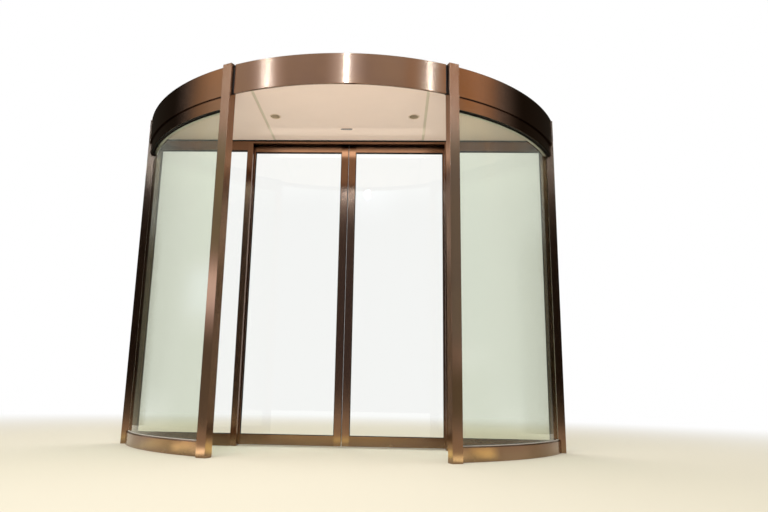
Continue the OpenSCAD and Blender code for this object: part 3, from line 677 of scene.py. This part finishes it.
def merge_flat_faces():
    bpy.ops.mesh.select_all(action="SELECT")
    bpy.ops.mesh.remove_doubles(threshold=merge_within)
    bpy.ops.mesh.dissolve_limited(angle_limit=flat_within)
    leave_edit()


def eased_copy(node_name, radius):
    piece = copy_of(nodes[node_name], f"{node_name}_eased")
    edit(piece)
    merge_flat_faces()
    apply_bevel(piece, radius)
    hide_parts(node_name)
    finish_piece(piece, finish_for(node_name), body_of[node_name])
    return piece


eased = []
for node_name in sorted(nodes):
    for word, radius in fold_radius.items():
        if word in node_name:
            eased.append(eased_copy(node_name, radius))
print("eased copies:", len(eased), "with", sum(len(p.data.polygons) for p in eased), "faces")

# %% [markdown]
# The places of the added pieces come from the nodes' own boxes and corner points. The drum's
# circle follows from its width and depth at the screen, and a post's angle from the middle of
# its foot. Neighbours that bear on each other keep a seat of 0.3 mm, and rubber that is
# pressed against glass or metal keeps 0.2 mm.

# %% Measures of the drum and the posts
seat, touch = 0.0003, 0.0002
foot_level, mid_height = 0.001, 1.0
fascia_low, fascia_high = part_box("fascia_right")
drum_depth = screen_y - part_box("fascia_centre")[0].y
drum_radius = (fascia_high.x ** 2 + drum_depth ** 2) / (2 * drum_depth)
drum_y = screen_y - drum_depth + drum_radius
corners = [v.co for v in nodes["post_right"].data.vertices if v.co.z < foot_level]
foot = {(round(corner.x, 5), round(corner.y, 5)) for corner in corners}
first, second = sorted(foot, key=lambda p: -hypot(p[0], p[1] - drum_y))[:2]
post_x, post_y = (first[0] + second[0]) / 2, (first[1] + second[1]) / 2
post_angle = asin(post_x / hypot(post_x, post_y - drum_y))
post_half = hypot(first[0] - second[0], first[1] - second[1]) / 2


def heights_of(node_name):
    return sorted({round(v.co.z, 4) for v in nodes[node_name].data.vertices})


print("drum radius", round(drum_radius, 4), "m, post at", round(degrees(post_angle), 2), "degrees")

# %% [markdown]
# A few helpers make new pieces. One makes a block between two corners, from a cube that is
# resized and moved. One selects faces by a test, one mirrors a right-hand piece to the left,
# and one turns a piece about the drum's centre to the right-hand post. Each leaves the piece's
# object at the origin, with its place in its mesh.

# %% Helpers for new pieces
def place_in_mesh():
    bpy.ops.object.transform_apply(location=True, rotation=True, scale=True)


def new_block(name, low, high):
    low, high = Vector(low), Vector(high)
    piece = new_primitive(bpy.ops.mesh.primitive_cube_add, name, size=1)
    bpy.ops.transform.resize(value=high - low)
    bpy.ops.transform.translate(value=(low + high) / 2)
    place_in_mesh()
    return piece


def select_faces(piece, wanted):
    edit(piece)
    bpy.ops.mesh.select_mode(type="FACE")
    bpy.ops.mesh.select_all(action="DESELECT")
    leave_edit()
    for face in piece.data.polygons:
        face.select = wanted(face)
    edit(piece)


def point_outwards(piece):
    edit(piece)
    bpy.ops.mesh.select_all(action="SELECT")
    bpy.ops.mesh.normals_make_consistent(inside=False)
    leave_edit()


def mirrored(piece, name):
    twin = copy_of(piece, name)
    twin.scale.x = -1
    place_in_mesh()
    point_outwards(twin)
    return twin


def move_to_post(piece, angle=post_angle):
    select_only(piece)
    piece.location = (0, drum_y, 0)
    piece.rotation_euler.z = angle
    place_in_mesh()


def finish_pair(piece, twin_name, finish, smooth_below=20):
    finish_piece(piece, finish, smooth_below=smooth_below)
    finish_piece(mirrored(piece, twin_name), finish, smooth_below=smooth_below)


print("modelling helpers ready")

# %% [markdown]
# Beside each post the middle fascia stops 12 mm short. A black rubber strip closes that joint,
# a little behind the metal faces. Its black is partly painted shade: it stands in for the shadow
# deep in the gap, so that the joint reads as one clean dark line. It is a block with its edges
# rounded, drawn upright in the post's own direction and then turned about the drum's centre to the post.

# %% Strips in the joints beside the posts
fascia_foot, fascia_head = fascia_low.z, fascia_high.z
joint_width, joint_set_back = 0.012, 0.002
strip_deep, strip_over_foot, strip_under_head = 0.024, 0.0005, 0.004
strip_front = joint_set_back - drum_radius
# the strip's black is partly painted shade, standing in for the shadow in the gap
strip = new_block("seal_and_shade_strip_right",
                  (-post_half - joint_width + seat, strip_front, fascia_foot + strip_over_foot),
                  (-post_half - seat, strip_front + strip_deep, fascia_head - strip_under_head))
apply_bevel(strip, 0.0025, segments=3)
move_to_post(strip)
finish_pair(strip, "seal_and_shade_strip_left", rubber)
print("joint strips", round((fascia_head - fascia_foot) * 1000), "mm tall")

# %% [markdown]
# A compressible seal runs along the top of the whole screen, where its frame meets the soffit.
# From below it is the dark line that ends the ceiling. It is one long block with rounded
# edges, like an extruded rubber.

# %% Seal between soffit and screen
soffit_z = heights_of("soffit_centre")[0]
seal_reach = fascia_high.x - 0.090
seal_height, seal_depth = 0.011, 0.005
soffit_seal = new_block("soffit_seal", (-seal_reach, screen_y - seal_depth, soffit_z - seal_height),
                        (seal_reach, screen_y - touch, soffit_z - seat))
apply_bevel(soffit_seal, 0.0018, segments=3)
finish_piece(soffit_seal, rubber)
print("soffit seal", round(2 * seal_reach, 2), "m long")

# %% [markdown]
# Each flat pane sits between extruded rubber gaskets that show as a thin black frame, inside
# and outside. A plane the size of the opening is inset by the gasket's width, and its middle
# is deleted. That leaves a flat ring with mitred corners. A solidify modifier gives it
# thickness away from the glass, and a bevel rounds its front.

# %% Glazing gasket
gasket_width, gasket_thickness = 0.004, 0.005


def gasket_frame(name, x_span, z_span, glass_y, outwards, body):
    ring = new_primitive(bpy.ops.mesh.primitive_plane_add, name, size=1)
    ring.rotation_euler.x = pi / 2
    ring.scale = (x_span[1] - x_span[0] - 2 * touch, z_span[1] - z_span[0] - 2 * touch, 1)
    ring.location = (sum(x_span) / 2, glass_y + outwards * touch, sum(z_span) / 2)
    place_in_mesh()
    select_faces(ring, lambda face: True)
    bpy.ops.mesh.inset(thickness=gasket_width)
    bpy.ops.mesh.delete(type="ONLY_FACE")
    leave_edit()
    apply_modifier(ring, "SOLIDIFY", thickness=gasket_thickness, offset=-outwards)
    apply_bevel(ring, 0.0012)
    point_outwards(ring)
    finish_piece(ring, rubber, body)


print("gasket", gasket_width * 1000, "mm wide")

# %% [markdown]
# The openings are measured from the corner points of the rails and stiles round them. The
# heights of a rail pair fall into a low group and a high one, and the opening lies between.
# The left-hand openings are the right-hand ones mirrored.

# %% Gaskets of the sidelights and the leaves
def opening(low_x, high_x, rails):
    low = max(z for z in heights_of(rails) if z < mid_height)
    high = min(z for z in heights_of(rails) if z > mid_height)
    return (low_x, high_x), (low, high)


jamb_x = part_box("jamb_right")[0].x
stile_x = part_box("sidelight_stile_right")[1].x
leaf_rail_low, leaf_rail_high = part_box("leaf_right_rails")
openings = {
    "sidelight": opening(stile_x, jamb_x, "sidelight_rails_right"),
    "leaf": opening(leaf_rail_low.x, leaf_rail_high.x, "leaf_right_rails"),
}
for kind, (x_span, z_span) in openings.items():
    for side in ("left", "right"):
        pane = f"leaf_{side}_glass" if kind == "leaf" else f"sidelight_glass_{side}"
        x_here = x_span if side == "right" else (-x_span[1], -x_span[0])
        pane_low, pane_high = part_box(pane)
        gasket_frame(f"{kind}_gasket_{side}_front", x_here, z_span, pane_low.y, -1, body_of[pane])
        gasket_frame(f"{kind}_gasket_{side}_back", x_here, z_span, pane_high.y, 1, body_of[pane])
print("leaf opening", [round(v, 3) for v in openings["leaf"][0] + openings["leaf"][1]])

# %% [markdown]
# Where the leaves meet, each carries a rubber bulb in a groove down its edge, and the two bulbs
# close the gap when the doors shut. Each is a long block with well rounded edges, and it
# rides on its leaf, so it moves with it.

# %% Seals on the leaves
leaf_low, leaf_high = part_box("leaf_right_stiles")
leaf_mid_y = (leaf_low.y + leaf_high.y) / 2
groove_foot, groove_under_head = 0.040, 0.001
bulb_from, bulb_to, bulb_half = 0.0005, 0.0088, 0.0033
bulb = new_block("leaf_right_bulb", (bulb_from, leaf_mid_y - bulb_half, groove_foot),
                 (bulb_to, leaf_mid_y + bulb_half, leaf_high.z - groove_under_head))
apply_bevel(bulb, 0.0030, segments=4)
finish_piece(bulb, rubber, "leaf_right")
finish_piece(mirrored(bulb, "leaf_left_bulb"), rubber, "leaf_left")
print("leaf seals", round(leaf_high.z - groove_foot, 3), "m tall")

# %% [markdown]
# The curved panes stand in a groove in each post's glazing leg, with a rubber bead on both
# faces. The beads are drawn in the post's own direction, like the joint strips.

# %% Beads beside the curved panes
pane_points = [hypot(v.co.x, v.co.y - drum_y) for v in nodes["curved_glass_right"].data.vertices]
pane_outer, pane_inner = max(pane_points), min(pane_points)
rail_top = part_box("base_rail_right")[1].z
rail_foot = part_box("head_rail_right")[0].z
bead_size, bead_reach = 0.005, 0.0062
bead_over_rail, bead_under_rail = 0.0045, 0.001
for name, radius in (("outer", pane_outer + touch), ("inner", pane_inner - touch - bead_size)):
    bead = new_block(f"post_bead_right_{name}",
                     (post_half + touch, -radius - bead_size, rail_top + bead_over_rail),
                     (post_half + bead_reach, -radius, rail_foot - bead_under_rail))
    apply_bevel(bead, 0.0012)
    move_to_post(bead)
    finish_pair(bead, f"post_bead_left_{name}", rubber)
print("curved pane from radius", round(pane_inner, 4), "to", round(pane_outer, 4))

# %% [markdown]
# Each curved pane has a bead along its head and foot inside, and a black one along its head
# outside. The flat one at the head inside is pale, like the soffit. One end of a thin block is
# spun about the drum's axis, from the post to beyond the screen, and the part behind the
# screen is cut away with bisect, which also closes the cut.

# %% Curved beads
slice_half, spin_steps, spin_merge = 0.0004, 48, 0.00002
bead_from_post, past_screen, screen_gap = 0.0068, 0.03, 0.0005


def curved_bead(name, radius, low_z, width, height):
    start = post_angle + asin((post_half + bead_from_post) / pane_inner)
    sweep = acos((drum_y - screen_y) / pane_inner) + past_screen - start
    bead = new_block(name, (-slice_half, -radius, low_z), (slice_half, width - radius, low_z + height))
    move_to_post(bead, start)
    way = Vector((cos(start), sin(start), 0))
    select_faces(bead, lambda face: face.normal.dot(way) > 0.9)
    bpy.ops.mesh.spin(steps=spin_steps, angle=-sweep, center=(0, drum_y, 0), axis=(0, 0, 1))
    bpy.ops.mesh.select_all(action="SELECT")
    bpy.ops.mesh.remove_doubles(threshold=spin_merge)
    bpy.ops.mesh.select_all(action="SELECT")
    cut = (0, screen_y - screen_gap, 0)
    bpy.ops.mesh.bisect(plane_co=cut, plane_no=(0, 1, 0), clear_outer=True, use_fill=True)
    leave_edit()
    point_outwards(bead)
    apply_bevel(bead, 0.0010)
    return bead


beads = (
    ("inner_foot", pane_inner - 0.0003, rail_top + 0.0003, 0.005, 0.006, rubber),
    ("inner_head", pane_inner - 0.0003, rail_foot - 0.0033, 0.0185, 0.003, seal_pale),
    ("outer_head", pane_outer + 0.0063, rail_foot - 0.0040, 0.006, 0.0075, rubber),
)
for where, radius, low_z, width, height, finish in beads:
    bead = curved_bead(f"bead_right_{where}", radius, low_z, width, height)
    finish_pair(bead, f"bead_left_{where}", finish)
    depth = [round(v.co.y, 3) for v in bead.data.vertices]
    print(where, "bead from y", min(depth), "to", max(depth), "faces", len(bead.data.polygons))

# %% [markdown]
# The outer gasket of each curved pane is one node with two strips, at the head and at the foot.
# The one at the head is black. The one at the foot is a pale glazing seal, so the two strips
# become two pieces: each is a copy of the node without the faces of the other.

# %% Outer gaskets of the curved panes
for side in ("left", "right"):
    node_name = f"curved_gaskets_{side}"
    for where, sign, finish, slot in (("head", 1, rubber, "black_rubber"), ("foot", -1, seal_pale, None)):
        piece = copy_of(nodes[node_name], f"outer_gasket_{side}_{where}")
        select_faces(piece, lambda face: (face.center.z - mid_height) * sign < 0)
        bpy.ops.mesh.delete(type="FACE")
        merge_flat_faces()
        apply_bevel(piece, 0.0008)
        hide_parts(node_name)
        finish_piece(piece, finish)
        print(piece.name, len(piece.data.polygons), "faces")

# %% [markdown]
# Lamp reflectors, lenses and the sensor's window all start as a circle. Its edge is extruded
# again and again, up or down and then inwards, and may be closed at both ends at last. The
# finished shape is moved to its place in the soffit.

# %% Helpers for round pieces
ring_corners = 48


def extrude_ring(moves):
    for rise, scale in moves:
        bpy.ops.mesh.extrude_region_move(TRANSFORM_OT_translate={"value": (0, 0, rise)})
        bpy.ops.transform.resize(value=(scale, scale, 1), center_override=(0, 0, 0))


def extruded_ring(name, radius, moves):
    ring = new_primitive(bpy.ops.mesh.primitive_circle_add, name, vertices=ring_corners, radius=radius,
                         rotation=(0, 0, pi / ring_corners))
    place_in_mesh()
    edit(ring)
    bpy.ops.mesh.select_mode(type="VERT")
    bpy.ops.mesh.select_all(action="SELECT")
    extrude_ring(moves)
    return ring


def close_ring():
    bpy.ops.mesh.edge_face_add()
    bpy.ops.mesh.select_all(action="SELECT")
    bpy.ops.mesh.fill_holes(sides=0)
    leave_edit()


def place_piece(piece, place):
    select_only(piece)
    piece.location = place
    place_in_mesh()
    point_outwards(piece)


print("round pieces have", ring_corners, "corners")

# %% [markdown]
# Each downlight has a stepped reflector, a row of rings that hides the lamp from the side, and
# a frosted lens above it. Rising and then narrowing by turns makes the steps, and solidify
# gives them a sheet's thickness. The lens is a shallow dome of three rings.

# %% Downlight reflectors and lenses
light_points = [v.co for v in nodes["downlights"].data.vertices if v.co.x > 0]
light_x = (min(p.x for p in light_points) + max(p.x for p in light_points)) / 2
light_y = (min(p.y for p in light_points) + max(p.y for p in light_points)) / 2
trim_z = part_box("downlights")[0].z
steps, first_radius, last_radius, step_rise = 5, 0.0318, 0.0215, 0.0070
sheet, reflector_lift, lens_lift = 0.0006, 0.0035, 0.0045

shrink = (last_radius / first_radius) ** (1 / steps)
step = [(step_rise, 1.0), (0.0, shrink)]
reflector = extruded_ring("downlight_reflector_right", first_radius, step * steps)
leave_edit()
apply_modifier(reflector, "SOLIDIFY", thickness=sheet)
place_piece(reflector, (light_x, light_y, trim_z + reflector_lift))
finish_pair(reflector, "downlight_reflector_left", reflector_coat)

dome = [(-0.0015, 0.94), (-0.0015, 0.80), (-0.0010, 0.50)]
lens = extruded_ring("downlight_lens_right", last_radius, dome)
close_ring()
place_piece(lens, (light_x, light_y, trim_z + lens_lift + steps * step_rise))
finish_pair(lens, "downlight_lens_left", lens_grey, smooth_below=40)
print("downlights at", round(light_x, 3), round(light_y, 3))

# %% [markdown]
# The presence sensor's eye is an oval window of dark infrared plastic, slightly domed. A circle
# is split in two halves that move apart, which makes the oval, and its rim is extruded
# down and inwards in four steps for the dome.

# %% Sensor window
sensor_low, sensor_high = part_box("presence_sensor")
sensor_mid = (sensor_low + sensor_high) / 2
half_gap = (sensor_high.x - sensor_low.x) / 2 - (sensor_high.y - sensor_low.y) / 2
window_radius, window_lift, side_margin = 0.0157, 0.0095, 0.001
window = extruded_ring("sensor_window", window_radius, [])
for side in (-1, 1):
    bpy.ops.mesh.select_all(action="DESELECT")
    leave_edit()
    for vertex in window.data.vertices:
        vertex.select = 0 < vertex.co.x * side < window_radius + side_margin
    edit(window)
    bpy.ops.transform.translate(value=(side * half_gap, 0, 0))
bpy.ops.mesh.select_all(action="SELECT")
extrude_ring([(-0.0065, 1.0), (-0.0012, 0.97), (-0.0008, 0.90), (-0.0004, 0.75)])
close_ring()
place_piece(window, (sensor_mid.x, sensor_mid.y, sensor_low.z + window_lift))
finish_piece(window, sensor_black, smooth_below=40)
print("sensor window", [round(v * 1000) for v in window.dimensions], "mm")

# %% [markdown]
# Screws and bolts are modelled once and copied to their places. A pan-head screw is a short
# cylinder with a domed rim and a round socket sunk into it. A hexagon bolt is the same
# with six sides and no socket. Copies are joined by kind, so that a row of screws is one piece.

# %% Screw and bolt heads
rim_share, wall_share, socket_share = 0.35, 0.22, 0.4


def screw_head(name, radius, height, sides=20, socket=True):
    measures = {"vertices": sides, "radius": radius, "depth": height}
    head = new_primitive(bpy.ops.mesh.primitive_cylinder_add, name, (0, 0, height / 2), **measures)
    place_in_mesh()
    apply_bevel(head, height * rim_share)
    if socket:
        select_faces(head, lambda face: face.normal.z > 0.99 and face.center.z > height * 0.9)
        bpy.ops.mesh.inset(thickness=radius * wall_share)
        sink = (0, 0, -height * socket_share)
        bpy.ops.mesh.extrude_region_move(TRANSFORM_OT_translate={"value": sink})
        leave_edit()
    return head


def row_of(head, name, places, turn_x=0.0, finish=zinc, body="portal"):
    copies = []
    for spot in places:
        one = copy_of(head, name)
        one.rotation_euler.x = turn_x
        one.location = spot
        place_in_mesh()
        copies.append(one)
    bpy.ops.object.select_all(action="DESELECT")
    for one in copies:
        one.select_set(True)
    bpy.context.view_layer.objects.active = copies[0]
    bpy.ops.object.join()
    copies[0].name = name
    finish_piece(copies[0], finish, body, smooth_below=35)


pan_head = screw_head("pan_head", 0.0045, 0.0026)
hexagon = screw_head("hexagon", 0.0070, 0.0050, sides=6, socket=False)
print("heads", pan_head.name, "and", hexagon.name)

# %% [markdown]
# The roof sheet is screwed down along its curved and its straight edge, 14 mm in. The header's
# cover has two rows of screws, and each leaf hangs by four bolts through its top rail. The two
# heads that were copied are removed at the end.

# %% Screws and bolts in their places
edge_distance = 0.014
arc_pitch, roof_pitch = radians(5.2), 0.25
cover_pitch, cover_inset = 0.395, 0.02
bolt_from_end, bolt_half_pitch, bolt_set_back, bolt_lift = 0.150, 0.045, 0.0055, 0.006

roof_low, roof_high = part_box("roof_panel")
screw_circle = drum_y - roof_low.y - edge_distance
roof_places = []
for number in range(-12, 13):
    around = number * arc_pitch
    x, y = screw_circle * sin(around), drum_y - screw_circle * cos(around)
    roof_places.append(Vector((x, y, roof_high.z)))
for number in range(-6, 7):
    roof_places.append(Vector((number * roof_pitch, roof_high.y - edge_distance, roof_high.z)))
row_of(pan_head, "roof_screws", roof_places)

cover_low, cover_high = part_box("header_cover")
cover_places = []
for z in (cover_low.z + cover_inset, cover_high.z - cover_inset):
    cover_places += [Vector((number * cover_pitch, cover_high.y, z)) for number in range(-4, 5)]
row_of(pan_head, "cover_screws", cover_places, turn_x=-pi / 2, finish=bronze_upright)

bolt_y, bolt_z = leaf_mid_y + bolt_set_back, leaf_high.z + bolt_lift
for side, name in ((-1, "left"), (1, "right")):
    hangers = (side * (leaf_low.x + bolt_from_end), side * (leaf_high.x - bolt_from_end))
    bolts = [Vector((x + dx, bolt_y, bolt_z)) for x in hangers for dx in (-bolt_half_pitch, bolt_half_pitch)]
    row_of(hexagon, f"leaf_{name}_bolts", bolts, body=f"leaf_{name}")
for pattern in (pan_head, hexagon):
    bpy.data.objects.remove(pattern)
print("screws in the roof:", len(roof_places), "in the cover:", len(cover_places))

# %% [markdown]
# The roof sheet comes in five strips, and a low cap covers each joint from the header to the
# curved edge. Bronze closing strips finish the screen's two top corners, over the jambs.
# All are slim blocks with eased edges.

# %% Roof caps and closing strips
cap_half, cap_height, cap_behind_screws, cap_end_gap = 0.018, 0.0022, 0.02, 0.004
for number, x in enumerate((-0.96, -0.32, 0.32, 0.96)):
    front_y = drum_y - sqrt(screw_circle ** 2 - x ** 2) + cap_behind_screws
    cap = new_block(f"roof_cap_{number}", (x - cap_half, front_y, roof_high.z),
                    (x + cap_half, roof_high.y - cap_end_gap, roof_high.z + cap_height))
    apply_bevel(cap, 0.0008)
    finish_piece(cap, zinc)

header_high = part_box("header_beam")[1]
closing_gap, closing_depth, closing_back = 0.0005, 0.003, 0.0001
closing = new_block("closing_strip_right",
                    (fascia_high.x + closing_gap, screen_y - closing_depth, soffit_z + closing_gap),
                    (header_high.x - touch, screen_y - closing_back, header_high.z))
apply_bevel(closing, 0.0006)
finish_pair(closing, "closing_strip_left", bronze_upright)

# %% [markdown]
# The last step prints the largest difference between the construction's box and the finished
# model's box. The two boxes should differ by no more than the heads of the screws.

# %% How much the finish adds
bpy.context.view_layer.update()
grown = max(abs(a - b) for low, high in zip(cad_box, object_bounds()) for a, b in zip(low, high))
print("the finish adds at most", round(grown * 1000, 1), "mm")
